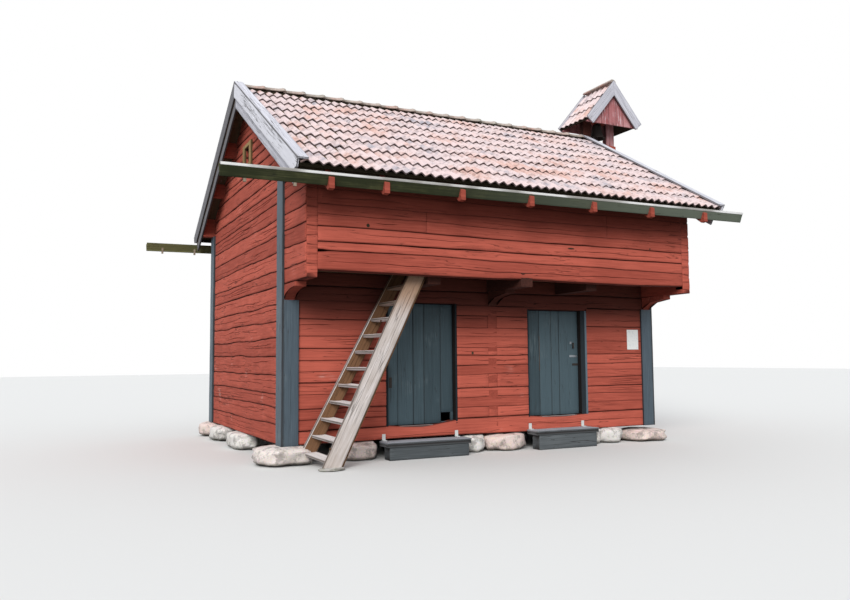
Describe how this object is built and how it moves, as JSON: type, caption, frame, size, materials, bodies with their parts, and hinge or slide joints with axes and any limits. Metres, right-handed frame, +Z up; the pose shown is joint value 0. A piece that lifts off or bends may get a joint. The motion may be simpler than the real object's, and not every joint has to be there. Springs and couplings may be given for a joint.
{
  "type": "raised granary",
  "caption": "Log-built raised granary with an overhanging loft, dovetailed corners, tiled saddle roof, wooden gutters, an outside stair and a small bell turret on its ridge.",
  "frame": {"origin": "middle of the whole box on the ground that the foundation stones rest on", "axes": "+X along the front from the stair end to the bell end, -Y out of the front with the doors, +Z up"},
  "size_m": [7.7552, 5.896, 5.9461],
  "materials": {
    "red_logs": "matte",
    "slate_boards": "matte",
    "grey_wood": "matte",
    "bare_wood": "matte",
    "clay_tiles": "matte",
    "fieldstone": "matte",
    "old_iron": "matte",
    "white_metal": "satin",
    "paper_notice": "matte"
  },
  "bodies": {
    "building": {"corner_stones": "fieldstone", "field_stones": "fieldstone", "front_sill": "red_logs", "front_wall_piers": "red_logs", "front_wall_head": "red_logs", "lower_gables": "red_logs", "back_wall": "red_logs", "partition_wall": "red_logs", "gallery_corbels": "red_logs", "floor_beams": "red_logs", "ground_floor": "bare_wood", "loft_floor": "bare_wood", "upper_gables": "red_logs", "gallery_wall": "red_logs", "roof_timbers": "red_logs", "roof_boards_front": "bare_wood", "roof_boards_back": "bare_wood", "roof_tiles_front": "clay_tiles", "roof_tiles_back": "clay_tiles", "ridge_tiles": "clay_tiles", "barge_boards": "grey_wood", "inner_barge_boards": "grey_wood", "cover_boards": "grey_wood", "fascias": "slate_boards", "gutter_outer_planks": "grey_wood", "gutter_inner_planks": "grey_wood", "gutter_hooks": "red_logs", "gutter_cleats": "grey_wood", "corner_boards": "slate_boards", "gable_corner_boards": "slate_boards", "door_jambs": "slate_boards", "door_pintles": "old_iron", "step_blocks": "slate_boards", "step_planks": "slate_boards", "step_brackets": "white_metal", "notice_sheet": "paper_notice", "window_frames": "bare_wood", "stair_stringers": "bare_wood", "stair_treads": "bare_wood", "turret_frame": "red_logs", "turret_roof_boards": "bare_wood", "turret_tiles": "clay_tiles", "turret_gables": "red_logs", "turret_barge_boards": "grey_wood"},
    "left_door_leaf": {"left_door": "slate_boards", "left_door_foot": "slate_boards", "left_door_ironwork": "old_iron"},
    "right_door_leaf": {"right_door": "slate_boards", "right_door_ironwork": "old_iron"},
    "bell_swing": {"bell": "old_iron", "bell_yoke": "red_logs", "bell_clapper": "old_iron"}
  },
  "joints": [
    {"name": "left_door_hinge", "type": "hinge", "parent": "building", "child": "left_door_leaf", "pos_m": [-0.5943, -1.5327, 1.153], "axis": [0, 0, -1], "range_deg": [0, 95]},
    {"name": "right_door_hinge", "type": "hinge", "parent": "building", "child": "right_door_leaf", "pos_m": [0.6073, -1.5327, 1.148], "axis": [0, 0, 1], "range_deg": [0, 95]},
    {"name": "bell_swing_axle", "type": "hinge", "parent": "building", "child": "bell_swing", "pos_m": [3.216, 0, 5.31912], "axis": [1, 0, 0], "range_deg": [-25, 25]}
  ]
}
